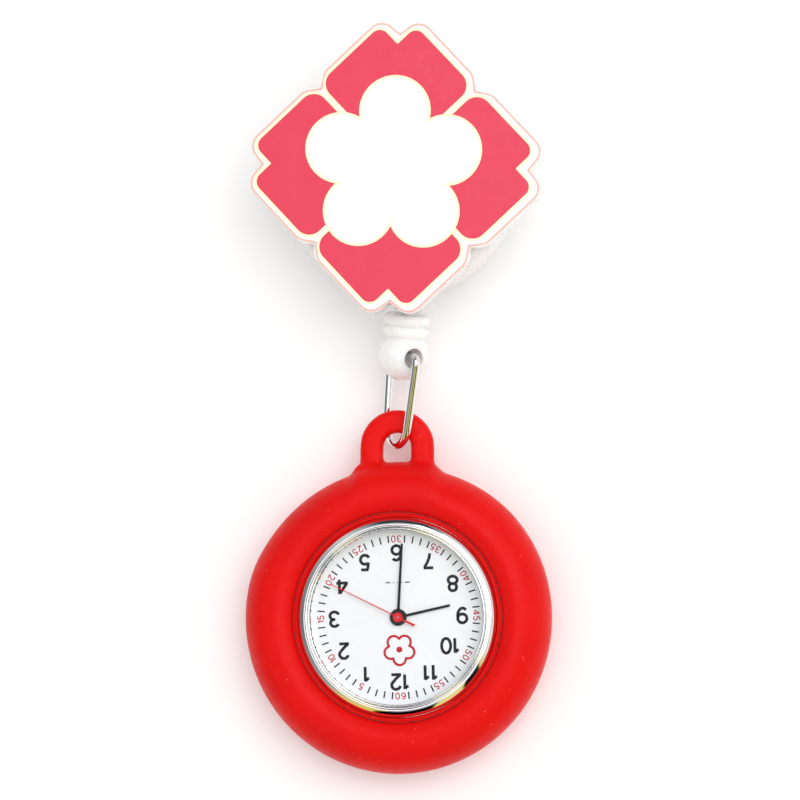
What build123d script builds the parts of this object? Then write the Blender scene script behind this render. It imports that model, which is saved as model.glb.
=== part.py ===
from build123d import *
import math
import os

# A nurse's fob watch that lies face up: a round retracting reel with a spring clip and a lobed
# emblem plate, a cord, a ribbed ball connector, a wire loop, and a quartz watch in a soft case.
# Millimetres. +Z is the way the dial faces, +Y runs from the watch to the reel, z = 0 is the table.

os.makedirs("parts", exist_ok=True)

# ---------------------------------------------------------------- driving dimensions
WATCH = Vector(0, -30.25, 0)          # centre of the watch
REEL = WATCH + Vector(0.4, 61.1, 0)   # centre of the reel
PLATE = REEL + Vector(0, 0.9, 0)      # centre of the emblem plate, glued a little high
PLATE_TURN = -2.2                     # degrees the plate is glued askew

CASE_R = 21.75                         # soft case
CASE_TOP = 11.5
CASE_MID = 5.75                       # mid height of the soft case and of its lug
BACK_WALL = 2.0
BACK_OPENING_R = 9.5
LIP_R = 14.7
LUG_THICK = 2.6
LUG_HALF = 5.2
LUG_X = -0.5                         # the lug stands a little to one side
LUG_TOP = 29.05                       # from the watch centre
LUG_HOLE = (4.0, 21.55, 25.85)        # width, lower edge, upper edge
STRAND_Y = 27.45                      # bar of the lug that the wire loop hangs on

BODY_R = 15.6                         # metal watch case
BODY_TOP = 9.2
BEZEL_R = 13.85
BEZEL_TOP = 11.2
DIAL_TOP = 8.2
DIAL_THICK = 0.4
DIAL_R = 13.3
SIGHT_R = 12.05                       # visible radius of the dial
GLASS_R = 12.5
MOVEMENT_R = 10.0

REEL_R = 16.3
REEL_LOW = 5.2
REEL_HIGH = 12.7
REEL_WALL = 1.2
CORD_Z = 8.95                         # height where the cord leaves the reel
CORD_X = 1.0                          # sideways place of the cord's exit on the reel
CORD_R = 0.36
PLATE_LOW = 13.2
PLATE_THICK = 2.5

WIRE_R = 0.6
BEAD_R = 3.6
FIT = 0.05                            # radial clearance of a running fit
TOUCH = 0.01                          # gap between pieces that are fixed together

LOW = (Align.CENTER, Align.CENTER, Align.MIN)


# ---------------------------------------------------------------- helpers
def save(name, *solids):
    """Write one piece to its STEP file."""
    export_step(Compound(children=list(solids)) if len(solids) > 1 else solids[0], f"parts/{name}.step")


def rod(centre, radius, z_low, z_high):
    """Upright cylinder between two heights."""
    return Pos(centre.X, centre.Y, z_low) * Cylinder(radius, z_high - z_low, align=LOW)


def ring(centre, outer, inner, z_low, z_high):
    """Upright tube or washer."""
    return rod(centre, outer, z_low, z_high) - rod(centre, inner, z_low - 1, z_high + 1)


def turned(centre, profile):
    """Solid of revolution about an upright axis from (radius, height) points."""
    face = make_face(Polyline(*[(r, 0, z) for r, z in profile], close=True))
    return Pos(centre.X, centre.Y, 0) * revolve(face, Axis.Z)


def block(centre, size, z_low, z_high, turn=0):
    """Box on a plan centre, turned about its own upright axis."""
    box = Box(size[0], size[1], z_high - z_low, align=LOW)
    return Pos(centre.X, centre.Y, z_low) * Rot(0, 0, turn) * box


def polar(radius, degrees):
    """Offset in plan."""
    return Vector(radius * math.cos(math.radians(degrees)), radius * math.sin(math.radians(degrees)), 0)


def gear(centre, teeth, module, z_low, z_high, phase):
    """Spur gear; one tooth is centred on the direction phase, in degrees."""
    tip = teeth * module / 2 + 0.9 * module
    root = teeth * module / 2 - 1.15 * module
    step = 360 / teeth
    outline = []
    for tooth in range(teeth):
        for share, radius in ((-0.3, root), (-0.1, tip), (0.1, tip), (0.3, root)):
            outline.append(polar(radius, phase + (tooth + share) * step))
    return Pos(centre.X, centre.Y, z_low) * extrude(make_face(Polyline(*outline, close=True)), z_high - z_low)


def wire(points, radii, radius):
    """Round wire along straight runs joined by tangent arcs."""
    path = FilletPolyline(*points, radius=radii)
    start = Plane(origin=path @ 0, z_dir=path % 0)
    return sweep(start * Circle(radius), path=path)


def coil(centre, tilt, pitch, height, coil_r, wire_r):
    """Helical coil of round wire or cord."""
    path = Helix(pitch=pitch, height=height, radius=coil_r)
    section = Plane(origin=path @ 0, z_dir=path % 0) * Circle(wire_r)
    return Pos(*centre) * tilt * sweep(section, path=path, is_frenet=True)


# ---------------------------------------------------------------- emblem plate
def lobed_outline():
    """Four two-humped petals: a shallow notch on each axis and a smaller one on each diagonal."""
    notch = Vector(0, 18.75)
    hump_start = Vector(0.92, 19.5)
    hump_top = Vector(2.55, 20.18)
    hump_end = Vector(4.17, 19.5)
    shoulder = Vector(10.15, 13.52)
    shoulder_mid = Vector(10.74, 12.5)
    shoulder_end = Vector(10.84, 11.65)
    corner = Vector(10.9, 10.9)
    half = [
        Line(notch, hump_start),
        ThreePointArc(hump_start, hump_top, hump_end),
        Line(hump_end, shoulder),
        ThreePointArc(shoulder, shoulder_mid, shoulder_end),
        Line(shoulder_end, corner),
    ]
    edges = []
    for quarter in range(4):
        for edge in half:
            edges.append(Rot(0, 0, -90 * quarter) * edge)
            edges.append(Rot(0, 0, -90 * quarter) * mirror(edge, Plane.YZ))
    return make_face(edges)


plate = Pos(PLATE.X, PLATE.Y, PLATE_LOW) * Rot(0, 0, PLATE_TURN) * extrude(lobed_outline(), PLATE_THICK)
save("emblem_plate", plate)
save("emblem_adhesive", rod(REEL, 12.0, REEL_HIGH + TOUCH, PLATE_LOW - TOUCH))

# ---------------------------------------------------------------- reel housing
FLOOR_TOP = REEL_LOW + 1.2            # inner face of the back cover
SEAM = FLOOR_TOP + TOUCH
ROOF_LOW = REEL_HIGH - 1.2
exit_y = REEL.Y - REEL_R
cord_exit = Vector(REEL.X + CORD_X, exit_y - 1.8, CORD_Z)
EYELET_R = 1.6


def exit_hole(radius):
    """Round hole through the reel's wall for the cord's eyelet."""
    hole = Rot(90, 0, 0) * Cylinder(radius, 8)
    return Pos(REEL.X + CORD_X, exit_y, CORD_Z) * hole


ARBOR_R = 3.2
ARBOR_BORE = 2.5
back = turned(
    REEL,
    [(1.6, REEL_LOW), (REEL_R - 1.4, REEL_LOW), (REEL_R - 0.4, REEL_LOW + 0.4), (REEL_R, FLOOR_TOP),
     (REEL_R - REEL_WALL - 0.05, FLOOR_TOP), (REEL_R - REEL_WALL - 0.05, FLOOR_TOP + 0.6),
     (REEL_R - REEL_WALL - 0.9, FLOOR_TOP + 0.6), (REEL_R - REEL_WALL - 0.9, FLOOR_TOP),
     (ARBOR_R, FLOOR_TOP), (ARBOR_R, 10.6), (ARBOR_BORE, 10.6), (ARBOR_BORE, FLOOR_TOP), (1.6, FLOOR_TOP)],
)
arbor_slot = Pos(REEL.X, REEL.Y, FLOOR_TOP + 0.3) * Box(0.3, 4, 5, align=(Align.CENTER, Align.MIN, Align.MIN))
save("reel_back_cover", back - arbor_slot)

front = turned(
    REEL,
    [(0, REEL_HIGH), (REEL_R - 2.2, REEL_HIGH), (REEL_R - 0.9, REEL_HIGH - 0.35),
     (REEL_R - 0.2, REEL_HIGH - 1.1), (REEL_R, REEL_HIGH - 2.0), (REEL_R, SEAM),
     (REEL_R - REEL_WALL, SEAM), (REEL_R - REEL_WALL, ROOF_LOW),
     (ARBOR_BORE - 0.1, ROOF_LOW), (ARBOR_BORE - 0.1, 8.6), (0, 8.6)],
)
save("reel_front_cover", front - exit_hole(EYELET_R + TOUCH))

eyelet = turned(
    Vector(0, 0, 0),
    [(0.5, 0), (1.9, 0), (2.3, 0.5), (2.4, 1.75), (EYELET_R, 1.75), (EYELET_R, 3.6), (2.0, 3.9), (2.0, 4.1),
     (0.9, 4.1), (0.5, 3.4)],
)
eyelet = Pos(cord_exit.X, cord_exit.Y, cord_exit.Z) * Rot(-90, 0, 0) * eyelet
save("cord_eyelet", eyelet)

# ---------------------------------------------------------------- spool, power spring and cord
FLANGE_R = 13.4
DRUM_R = 8.0
SPOOL_LOW = FLOOR_TOP + 0.75
SPOOL_HIGH = 11.25
FLANGE = 0.45
spool = turned(
    REEL,
    [(7.1, SPOOL_LOW), (FLANGE_R, SPOOL_LOW), (FLANGE_R, SPOOL_LOW + FLANGE), (DRUM_R, SPOOL_LOW + FLANGE),
     (DRUM_R, SPOOL_HIGH - FLANGE), (FLANGE_R, SPOOL_HIGH - FLANGE), (FLANGE_R, SPOOL_HIGH),
     (ARBOR_R + FIT, SPOOL_HIGH), (ARBOR_R + FIT, 10.3), (4.2, 10.3), (4.2, SPOOL_HIGH - FLANGE),
     (7.1, SPOOL_HIGH - FLANGE)],
)
save("spool", spool)

LAYERS = 3
TURNS_PER_LAYER = 3
COIL_PITCH = 0.8
LAYER_STEP = 0.76
coil_low = (SPOOL_LOW + SPOOL_HIGH - TURNS_PER_LAYER * COIL_PITCH) / 2
layers = []
for layer in range(LAYERS):
    coil_r = DRUM_R + 0.4 + layer * LAYER_STEP
    height = TURNS_PER_LAYER * COIL_PITCH
    layers.append(coil((REEL.X, REEL.Y, coil_low), Rot(0, 0, 0), COIL_PITCH, height, coil_r, CORD_R))
save("cord_coil", *layers)


def spiral_band(r_start, r_end, turns, thickness, z_low, z_high):
    """Flat spiral strip, coiled on edge."""
    steps = 12 * turns
    inner = []
    outer = []
    for step in range(steps + 1):
        r = r_start + (r_end - r_start) * step / steps
        inner.append(polar(r, 90 + 30 * step))
        outer.append(polar(r + thickness, 90 + 30 * step))
    edges = [Spline(*inner), Spline(*outer), Line(inner[0], outer[0]), Line(inner[-1], outer[-1])]
    return Pos(REEL.X, REEL.Y, z_low) * extrude(make_face(edges), z_high - z_low)


save("power_spring", spiral_band(ARBOR_R + 0.15, 6.8, 8, 0.14, SPOOL_LOW + 0.2, 10.2))

coil_outer = DRUM_R + 0.4 + LAYERS * LAYER_STEP
inner_end = Vector(REEL.X + CORD_X, cord_exit.Y + 4.3, CORD_Z)
reach = math.hypot(inner_end.X - REEL.X, inner_end.Y - REEL.Y)
toward = math.degrees(math.atan2(inner_end.Y - REEL.Y, inner_end.X - REEL.X))
lift_angle = toward + math.degrees(math.acos(coil_outer / reach))
lift_off = REEL + polar(coil_outer, lift_angle) + Vector(0, 0, CORD_Z)
run = inner_end - lift_off
inner_run = Plane(origin=lift_off, z_dir=run) * Cylinder(CORD_R, run.length, align=LOW)
save("cord_inner_run", inner_run)

# ---------------------------------------------------------------- clip under the reel
WASHER_TOP = REEL_LOW - TOUCH
UPPER_TOP = 4.9
UPPER_LOW = 4.2
LOWER_TOP = 0.7
CLIP_HALF_W = 4.5
PIN_Z = 2.45
PIN = REEL + Vector(0, 5.2, PIN_Z)
PIN_R = 0.7
RIVET_R = 1.5
rivet = turned(
    REEL,
    [(0, 3.75), (2.2, 3.75), (2.5, 4.0), (2.5, UPPER_LOW - 0.05), (RIVET_R, UPPER_LOW - 0.05),
     (RIVET_R, FLOOR_TOP + 0.02), (2.3, FLOOR_TOP + 0.02), (2.1, FLOOR_TOP + 0.6),
     (0, FLOOR_TOP + 0.6)],
)
save("clip_rivet", rivet)
save("clip_washer", ring(REEL, 3.4, RIVET_R + FIT, UPPER_TOP + TOUCH, WASHER_TOP - 0.03))


def clip_strip(y_rear, y_front, z_low, z_high, half_width):
    """Flat plate of the clip with rounded corners."""
    plate_2d = RectangleRounded(2 * half_width, y_rear - y_front, 1.4)
    place = Pos(REEL.X, REEL.Y + (y_rear + y_front) / 2, z_low)
    return place * extrude(plate_2d, z_high - z_low)


def pin_bore(radius):
    """Cylinder across the clip on the pin's axis."""
    return Pos(PIN.X, PIN.Y, PIN.Z) * Rot(0, 90, 0) * Cylinder(radius, 20)


def ear(side, inner, outer, z_low, z_high):
    """Upright lug of a clip jaw that holds the pin."""
    middle = REEL + Vector(side * (inner + outer) / 2, PIN.Y - REEL.Y, 0)
    return block(middle, (outer - inner, 4.0), z_low, z_high)


upper = clip_strip(13.2, -13.2, UPPER_LOW, UPPER_TOP, CLIP_HALF_W)
upper -= rod(REEL, RIVET_R + FIT, 3, 6)
for side in (-1, 1):
    upper += ear(side, CLIP_HALF_W - 0.6, CLIP_HALF_W, 1.35, UPPER_LOW)
upper -= pin_bore(PIN_R + TOUCH)
save("clip_upper_jaw", upper)

lower = clip_strip(13.2, -13.2, 0, LOWER_TOP, CLIP_HALF_W)
for side in (-1, 1):
    lower += ear(side, CLIP_HALF_W - 1.35, CLIP_HALF_W - 0.7, LOWER_TOP, 3.6)
lower -= pin_bore(PIN_R + FIT)
mouth = REEL + Vector(0, -12.75, 0)
lower += block(mouth, (2 * CLIP_HALF_W - 2.8, 0.7), LOWER_TOP, UPPER_LOW - 0.55)
for tooth in range(5):
    place = mouth + Vector((tooth - 2) * 1.3, 0, 0)
    lower += block(place, (0.7, 0.7), UPPER_LOW - 0.55, UPPER_LOW - 0.05)
save("clip_lower_jaw", lower)
pin = Pos(PIN.X, PIN.Y, PIN.Z) * Rot(0, 90, 0) * Cylinder(PIN_R, 2 * CLIP_HALF_W + 0.8)
save("clip_pin", pin)

SPRING_COIL_R = 1.2
SPRING_WIRE_R = 0.2
SPRING_WIDE = 3.0
spring_at = (PIN.X - SPRING_WIDE / 2, PIN.Y, PIN.Z)
spring = coil(spring_at, Rot(0, 90, 0), 0.6, SPRING_WIDE, SPRING_COIL_R, SPRING_WIRE_R)
legs = []
for side, leg_z in ((-1, PIN_Z - SPRING_COIL_R), (1, PIN_Z + SPRING_COIL_R)):
    leg = Rot(-90, 0, 0) * Cylinder(SPRING_WIRE_R, 6.0, align=LOW)
    legs.append(Pos(PIN.X + side * (SPRING_WIDE / 2 + 0.42), PIN.Y, leg_z) * leg)
save("clip_spring", spring, *legs)

# ---------------------------------------------------------------- line of pull from the lug to the reel
strand = WATCH + Vector(LUG_X, STRAND_Y, CASE_MID)
mouth_point = Vector(cord_exit.X, cord_exit.Y, CORD_Z)
along = (mouth_point - strand).normalized()
BALL_FROM_STRAND = 9.45               # ball centre, measured along the line of pull
ball = strand + along * BALL_FROM_STRAND
TWIST = 33                            # degrees the loop is turned from edge-on
flat = Vector(math.sin(math.radians(TWIST)), 0, math.cos(math.radians(TWIST)))
across = (flat - along * flat.dot(along)).normalized()
bead_plane = Plane(origin=ball, x_dir=across, z_dir=along)

# ---------------------------------------------------------------- ribbed ball connector
NECK_R = 2.75
NECK_TOP = 5.8
RIB_HIGH = 1.6
RIB_ROUND = 0.72
bead = Sphere(BEAD_R) + Pos(0, 0, 1.9) * Cylinder(NECK_R, NECK_TOP - 0.3 - 1.9, align=LOW)
for rib_r, rib_at in ((3.2, 3.4), (3.3, NECK_TOP - RIB_HIGH / 2)):
    rib = Pos(0, 0, rib_at) * Cylinder(rib_r, RIB_HIGH)
    bead += fillet(rib.edges().filter_by(GeomType.CIRCLE), RIB_ROUND)
HOLE_R = 1.4
bead -= Rot(0, 90, 0) * Cylinder(HOLE_R, 12)
bead -= Cylinder(1.25, 4.2, align=LOW)
bead -= Cylinder(CORD_R + 0.2, 8, align=LOW)
save("bead", bead_plane * bead)

crimp = Cylinder(1.15, 2.0, align=LOW) - Cylinder(CORD_R + TOUCH, 2.0, align=LOW)
save("cord_crimp", bead_plane * Pos(0, 0, 2.1) * crimp)
outer_start = ball + along * 1.9
outer_end = mouth_point + Vector(0, 3.9, 0)
outer_bend = mouth_point + Vector(0, 0.9, 0)
cord_path = [outer_start, outer_bend, outer_end]
turn = math.radians((outer_bend - outer_start).get_angle(outer_end - outer_bend))
bend_r = 0.45 * (outer_end - outer_bend).length / math.tan(turn / 2)
print("cord bend radius", round(bend_r, 2))
save("cord_outer_run", wire(cord_path, bend_r, CORD_R))

# ---------------------------------------------------------------- wire loop
BAR_FROM_BALL = 0.2                   # the bar runs through the bead's hole
BAR_HALF = 4.2
VERTEX_R = 3.35                       # wire centre, round the lug's bar with room for it to turn
CORNER_R = 0.95
bar_v = BALL_FROM_STRAND + BAR_FROM_BALL
span = math.hypot(BAR_HALF, bar_v)
lean = math.atan2(BAR_HALF, bar_v) - math.asin(VERTEX_R / span)
touch_w = VERTEX_R * math.cos(lean)
touch_v = -VERTEX_R * math.sin(lean)
loop_plane = Plane(origin=strand, x_dir=across, z_dir=across.cross(along))


def leg_point(w, v):
    """Point of the loop's plane: w across, v along the line of pull from the lug's bar."""
    return Vector(w, v)


SLIT = 0.15
half_turn = (math.pi / 2 + lean) / 2
bar_end = leg_point(BAR_HALF - CORNER_R * math.tan(half_turn), bar_v)
corner = leg_point(BAR_HALF, bar_v)
down = (leg_point(touch_w, touch_v) - corner).normalized()
leg_start = corner + down * (CORNER_R * math.tan(half_turn))
bisector = ((bar_end - corner) + (leg_start - corner)).normalized()
arc_mid = corner + bisector * (CORNER_R / math.cos(half_turn) - CORNER_R)


def mirrored(point):
    return Vector(-point.X, point.Y)


loop_edges = [
    Line(leg_point(SLIT, bar_v), bar_end),
    ThreePointArc(bar_end, arc_mid, leg_start),
    Line(leg_start, leg_point(touch_w, touch_v)),
    ThreePointArc(leg_point(touch_w, touch_v), leg_point(0, -VERTEX_R), leg_point(-touch_w, touch_v)),
    Line(leg_point(-touch_w, touch_v), mirrored(leg_start)),
    ThreePointArc(mirrored(leg_start), mirrored(arc_mid), mirrored(bar_end)),
    Line(mirrored(bar_end), leg_point(-SLIT, bar_v)),
]
loop_path = Wire(loop_edges)
loop_section = Plane(origin=loop_path @ 0, z_dir=loop_path % 0) * Circle(WIRE_R)
save("wire_loop", loop_plane * sweep(loop_section, path=loop_path))

# ---------------------------------------------------------------- soft case
LEDGE_R = 14.5                       # a thin ledge of the case covers the flange beside the bezel
LEDGE_TOP = 9.75
soft_outline = [
    Line((BACK_OPENING_R, 0), (CASE_R - 3.9, 0)),
    ThreePointArc((CASE_R - 3.9, 0), (CASE_R - 1.05, 1.75), (CASE_R, 5.2)),
    ThreePointArc((CASE_R, 5.2), (CASE_R - 1.0, 9.0), (17.5, 11.3)),
    ThreePointArc((17.5, 11.3), (16.0, CASE_TOP), (LIP_R, 10.7)),
    Line((LIP_R, 10.7), (LEDGE_R, LEDGE_TOP + 0.1)),
    Line((LEDGE_R, LEDGE_TOP + 0.1), (BEZEL_R + FIT, LEDGE_TOP)),
    Line((BEZEL_R + FIT, LEDGE_TOP), (BEZEL_R + FIT, BODY_TOP + 0.05)),
    Line((BEZEL_R + FIT, BODY_TOP + 0.05), (BODY_R + 0.02, BODY_TOP + 0.05)),
    Line((BODY_R + 0.02, BODY_TOP + 0.05), (BODY_R + 0.02, BACK_WALL)),
    Line((BODY_R + 0.02, BACK_WALL), (BACK_OPENING_R, BACK_WALL)),
    Line((BACK_OPENING_R, BACK_WALL), (BACK_OPENING_R, 0)),
]
soft_face = Plane.XZ * make_face(soft_outline)
soft = Pos(WATCH.X, WATCH.Y, 0) * revolve(soft_face, Axis.Z)

lug_2d = Pos(0, LUG_TOP - LUG_HALF) * Circle(LUG_HALF)
lug_2d += Pos(0, (LUG_TOP - LUG_HALF + 18) / 2) * Rectangle(2 * LUG_HALF, LUG_TOP - LUG_HALF - 18)
lug = extrude(lug_2d, LUG_THICK)
lug = fillet(lug.faces().sort_by(Axis.Z)[0].edges() + lug.faces().sort_by(Axis.Z)[-1].edges(), 1.05)
hole_w, hole_low, hole_high = LUG_HOLE
hole = Pos(0, hole_high - hole_w / 2) * Circle(hole_w / 2)
hole += Pos(0, (hole_low + hole_high - hole_w / 2) / 2) * Rectangle(hole_w, hole_high - hole_w / 2 - hole_low)
lug -= Pos(0, 0, -1) * extrude(hole, LUG_THICK + 2)
hole_middle = Pos(0, (hole_low + hole_high) / 2, LUG_THICK / 2)
hole_box = hole_middle * Box(hole_w + 0.2, hole_high - hole_low + 0.2, 9)
rim = [edge for edge in lug.edges()
       if hole_box.is_inside(edge.center()) and edge.bounding_box().size.Z < TOUCH]
lug = fillet(rim, 0.75)
lug = Pos(WATCH.X + LUG_X, WATCH.Y, CASE_MID - LUG_THICK / 2) * lug
collar = RectangleRounded(12.4, 6.0, 1.2)
collar = Pos(WATCH.X + LUG_X, WATCH.Y + 18.4, CASE_MID - 2.3) * extrude(collar, 4.6)
collar = fillet(collar.edges(), 0.9)
hollow = rod(WATCH, BODY_R + 0.02, BACK_WALL, BODY_TOP + 0.05)
STEM_Z = 5.6
crown_room = Pos(WATCH.X - 16.9, WATCH.Y, STEM_Z) * Rot(0, 90, 0) * Cylinder(2.2, 3.8)
soft = soft + ((lug + collar) - hollow) - crown_room
save("silicone_case", soft)

# ---------------------------------------------------------------- metal case and glass
CASE_LOW = BACK_WALL + TOUCH
DIAL_SEAT = DIAL_TOP + TOUCH
GLASS_LOW = 9.75
GLASS_TOP = 10.95
dome = []                             # the bezel's rounded top, from its side to the glass
for step in range(1, 15):
    angle = math.radians(step * 7.5)
    dome.append((BEZEL_R - 1.05 + 1.05 * math.cos(angle), BEZEL_TOP - 1.15 + 1.15 * math.sin(angle)))
body = turned(
    WATCH,
    [(BODY_R - 0.5, CASE_LOW), (BODY_R, CASE_LOW + 0.5), (BODY_R, BODY_TOP - 0.35), (BODY_R - 0.35, BODY_TOP),
     (BEZEL_R, BODY_TOP), (BEZEL_R, 10.05), *dome, (GLASS_R + 0.02, GLASS_TOP), (GLASS_R + 0.02, 9.45),
     (12.2, 9.45), (SIGHT_R + 0.08, 9.2), (SIGHT_R, DIAL_SEAT + 0.1),
     (SIGHT_R, DIAL_SEAT), (13.6, DIAL_SEAT), (13.6, 3.5), (14.2, 3.5), (14.2, CASE_LOW)],
)
stem_bore = Pos(WATCH.X - 14.5, WATCH.Y, STEM_Z) * Rot(0, 90, 0) * Cylinder(0.95, 3.4)
body -= stem_bore
save("watch_case", body)

crystal = turned(WATCH, [(0, GLASS_LOW), (GLASS_R, GLASS_LOW), (GLASS_R, GLASS_TOP - 0.3),
                         (GLASS_R - 0.35, GLASS_TOP), (0, GLASS_TOP)])
save("crystal", crystal)
save("crystal_gasket", ring(WATCH, GLASS_R, 12.25, 9.45 + TOUCH, GLASS_LOW - TOUCH))
back_plate = turned(WATCH, [(0, CASE_LOW), (13.8, CASE_LOW), (14.15, CASE_LOW + 0.3), (14.15, 3.0),
                            (13.55, 3.0), (13.55, 4.1), (12.9, 4.1), (12.9, 3.0), (0, 3.0)])
opener_notch = Pos(WATCH.X, WATCH.Y - 14.0, CASE_LOW) * Box(3.0, 0.8, 0.6, align=LOW)
save("case_back", back_plate - opener_notch)
save("case_back_gasket", ring(WATCH, 14.16, 13.64, 3.02, 3.46))

# ---------------------------------------------------------------- movement: places in plan and levels
FLOOR_LOW = 6.2                       # main plate's floor
FLOOR_HIGH = 6.7
BRIDGE_LOW = 3.9
BRIDGE_HIGH = 4.4
PLATE_HIGH = DIAL_TOP - DIAL_THICK - 0.02
THIRD_AT, THIRD_ANGLE = 3.4, 60
INTER_AT, INTER_ANGLE = 2.88, 200
ROTOR_AT, ROTOR_ANGLE = 2.8, 250
MINUTE_AT, MINUTE_ANGLE = 3.6, -60
third = WATCH + polar(THIRD_AT, THIRD_ANGLE)
inter = WATCH + polar(INTER_AT, INTER_ANGLE)
rotor_at = inter + polar(ROTOR_AT, ROTOR_ANGLE)
minute_at = WATCH + polar(MINUTE_AT, MINUTE_ANGLE)
cell_at = WATCH + Vector(5.6, -2.6, 0)
CELL_R = 3.4
PIVOT_R = 0.14
posts = [WATCH + Vector(-8.2, 2.4, 0), WATCH + Vector(4.6, 7.0, 0), WATCH + Vector(-8.15, -3.9, 0)]

# ---------------------------------------------------------------- dial, hands and their wheels
dial = ring(WATCH, DIAL_R, 0.85, DIAL_TOP - DIAL_THICK, DIAL_TOP)
feet = [WATCH + Vector(-8.3, -4.2, 0), WATCH + Vector(8.3, 4.2, 0)]
for foot in feet:
    dial += rod(foot, 0.35, 6.9, DIAL_TOP - DIAL_THICK)
save("dial", dial)

HOUR_HAND_Z = 8.46
MINUTE_HAND_Z = 8.76
SECOND_HAND_Z = 9.06
HAND_THICK = 0.14
HOUR_DIRECTION = 12.9
MINUTE_DIRECTION = 86.95
SECOND_DIRECTION = 153.9


def hand(direction, length, root_w, tip_w, tail, tail_w, hub_r, hole_r, z_low):
    """Flat tapered hand with a round hub."""
    blade = Polyline((-tail, tail_w / 2), (0, root_w / 2), (length, tip_w / 2), (length, -tip_w / 2),
                     (0, -root_w / 2), (-tail, -tail_w / 2), close=True)
    shape = make_face(blade) + Circle(hub_r) - Circle(hole_r)
    return Pos(WATCH.X, WATCH.Y, z_low) * Rot(0, 0, direction) * extrude(shape, HAND_THICK)


HOUR_TUBE_R = 0.75
CANNON_R = 0.5
save("hour_hand", hand(HOUR_DIRECTION, 7.4, 0.38, 0.34, 0.9, 0.3, 1.18, HOUR_TUBE_R + TOUCH, HOUR_HAND_Z))
save("minute_hand", hand(MINUTE_DIRECTION, 10.25, 0.38, 0.3, 0.9, 0.3, 1.1, CANNON_R + TOUCH, MINUTE_HAND_Z))
save("second_hand", hand(SECOND_DIRECTION, 10.5, 0.16, 0.12, 2.6, 0.36, 0.66, PIVOT_R + TOUCH, SECOND_HAND_Z))

hour_wheel = gear(WATCH, 32, 0.18, 7.42, 7.56, MINUTE_ANGLE)
hour_wheel += rod(WATCH, HOUR_TUBE_R, 7.42, HOUR_HAND_Z + HAND_THICK)
hour_wheel -= rod(WATCH, CANNON_R + 0.06, 7, 9)
save("hour_wheel", hour_wheel)

centre_wheel = gear(WATCH, 64, 2 * THIRD_AT / 72, 6.8, 6.94, THIRD_ANGLE)
centre_wheel += gear(WATCH, 10, 0.18, 6.94, 7.36, MINUTE_ANGLE + 18)
centre_wheel += rod(WATCH, CANNON_R, 6.94, MINUTE_HAND_Z + HAND_THICK)
centre_wheel -= rod(WATCH, PIVOT_R + 0.06, 6, 9.5)
save("centre_wheel", centre_wheel)

minute_wheel = gear(minute_at, 30, 0.18, 7.06, 7.2, MINUTE_ANGLE + 180)
minute_wheel += gear(minute_at, 8, 0.18, 7.2, 7.7, MINUTE_ANGLE + 180 + 22.5)
minute_wheel -= rod(minute_at, 0.2 + FIT, 7, 8)
save("minute_wheel", minute_wheel)

second_wheel = gear(WATCH, 40, 0.12, 4.95, 5.09, INTER_ANGLE)
second_wheel += gear(WATCH, 8, 0.1, 5.22, 5.6, THIRD_ANGLE + 22.5)
second_wheel += rod(WATCH, PIVOT_R, BRIDGE_LOW + 0.2, SECOND_HAND_Z + HAND_THICK)
save("second_wheel", second_wheel)

third_wheel = gear(third, 60, 0.1, 5.34, 5.48, THIRD_ANGLE + 180)
third_wheel += gear(third, 8, 2 * THIRD_AT / 72, 6.74, 7.02, THIRD_ANGLE + 180 + 22.5)
third_wheel += rod(third, 0.2, BRIDGE_LOW + 0.2, 7.02)
save("third_wheel", third_wheel)

intermediate = gear(inter, 48, 0.1, 4.6, 4.74, ROTOR_ANGLE)
intermediate += gear(inter, 8, 0.12, 4.84, 5.2, INTER_ANGLE + 180 + 22.5)
intermediate += rod(inter, PIVOT_R, BRIDGE_LOW + 0.2, FLOOR_LOW + 0.2)
save("intermediate_wheel", intermediate)

rotor = gear(rotor_at, 8, 0.1, 4.5, 4.86, ROTOR_ANGLE + 180 + 22.5)
rotor += rod(rotor_at, PIVOT_R, BRIDGE_LOW + 0.2, FLOOR_LOW + 0.2)
rotor += rod(rotor_at, 0.9, 5.15, 5.95)
save("rotor", rotor)

# ---------------------------------------------------------------- main plate and train bridge
main_plate = turned(WATCH, [(0, FLOOR_LOW), (MOVEMENT_R, FLOOR_LOW), (MOVEMENT_R, PLATE_HIGH),
                            (6.9, PLATE_HIGH), (6.9, FLOOR_HIGH), (0, FLOOR_HIGH)])
for post in posts:
    main_plate += rod(post, 0.75, BRIDGE_HIGH + TOUCH, FLOOR_LOW)
    main_plate -= rod(post, 0.32, BRIDGE_HIGH - 1, FLOOR_LOW)
main_plate += rod(minute_at, 0.2, FLOOR_HIGH, 7.72)
main_plate -= rod(WATCH, PIVOT_R + FIT, 6, 7)
main_plate -= rod(third, 0.2 + FIT, 6, 7)
for pivot in (inter, rotor_at):
    main_plate -= rod(pivot, PIVOT_R + FIT, 6, FLOOR_LOW + 0.25)
for foot in feet:
    main_plate -= rod(foot, 0.38, FLOOR_LOW + 0.3, 8)
main_plate -= rod(cell_at, CELL_R + 0.15, 6, FLOOR_LOW + 0.1)
save("main_plate", main_plate)

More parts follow.
